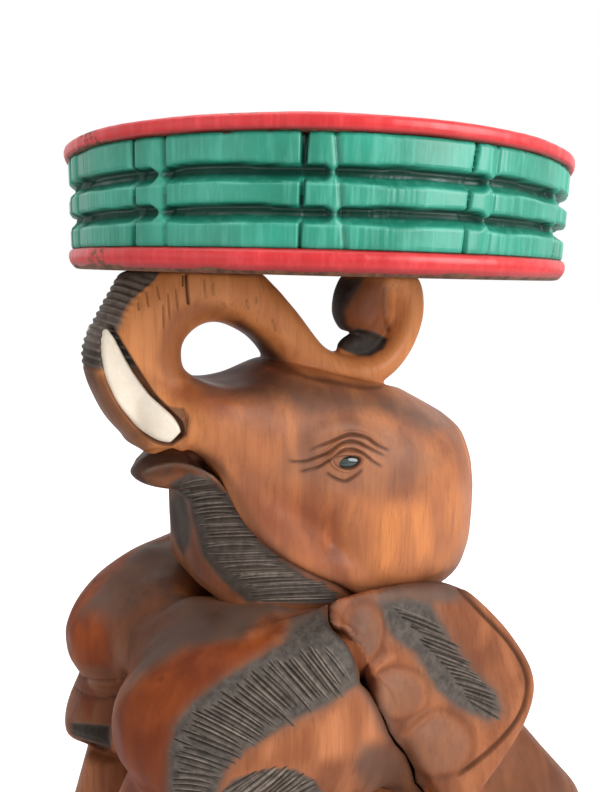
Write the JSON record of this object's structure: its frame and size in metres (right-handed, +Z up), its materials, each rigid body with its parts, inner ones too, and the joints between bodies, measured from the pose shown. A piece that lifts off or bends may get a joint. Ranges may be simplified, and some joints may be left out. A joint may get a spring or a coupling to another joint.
{
  "type": "carved elephant stool",
  "caption": "Carved wooden elephant stool: a sitting elephant whose raised, looped trunk and curled tip carry a round seat with a carved painted band.",
  "frame": {"origin": "on the floor under the centre of the round seat", "axes": "+Z up, -X the way the elephant faces, -Y its left side; the stool mirrors across the XZ plane"},
  "size_m": [0.3239, 0.28, 0.461],
  "materials": {
    "red_enamel": "glossy red enamel brushed on wood",
    "green_enamel": "glossy green enamel brushed on carved wood",
    "trunk_wood": "waxed orange-brown wood with straight grain",
    "head_wood": "waxed reddish-brown wood with dark stain at the crown",
    "body_wood": "waxed dark brown wood with black stain in the carving",
    "tusk_ivory_paint": "satin ivory-coloured paint on wood",
    "eye_glass": "dark glossy glass bead",
    "pin_wood": "plain hardwood dowel"
  },
  "bodies": {
    "root": {"seat_bottom_board": "red_enamel", "seat_carved_band": "green_enamel", "seat_top_board": "red_enamel", "seat_board_pins": "pin_wood", "trunk": "trunk_wood", "eye_left": "eye_glass", "eye_right": "eye_glass", "head": "head_wood", "tusk_left": "tusk_ivory_paint", "tusk_right": "tusk_ivory_paint", "neck_and_jaw": "body_wood", "body": "body_wood", "ear_left": "body_wood", "ear_right": "body_wood", "foreleg_left": "body_wood", "foreleg_right": "body_wood", "hind_leg_left": "body_wood", "hind_leg_right": "body_wood", "tail": "body_wood", "trunk_seat_pins": "pin_wood", "trunk_head_pins": "pin_wood", "head_neck_pins": "pin_wood", "neck_body_pins": "pin_wood", "ear_pins": "pin_wood", "foreleg_pins": "pin_wood", "hind_leg_pins": "pin_wood"}
  },
  "joints": []
}
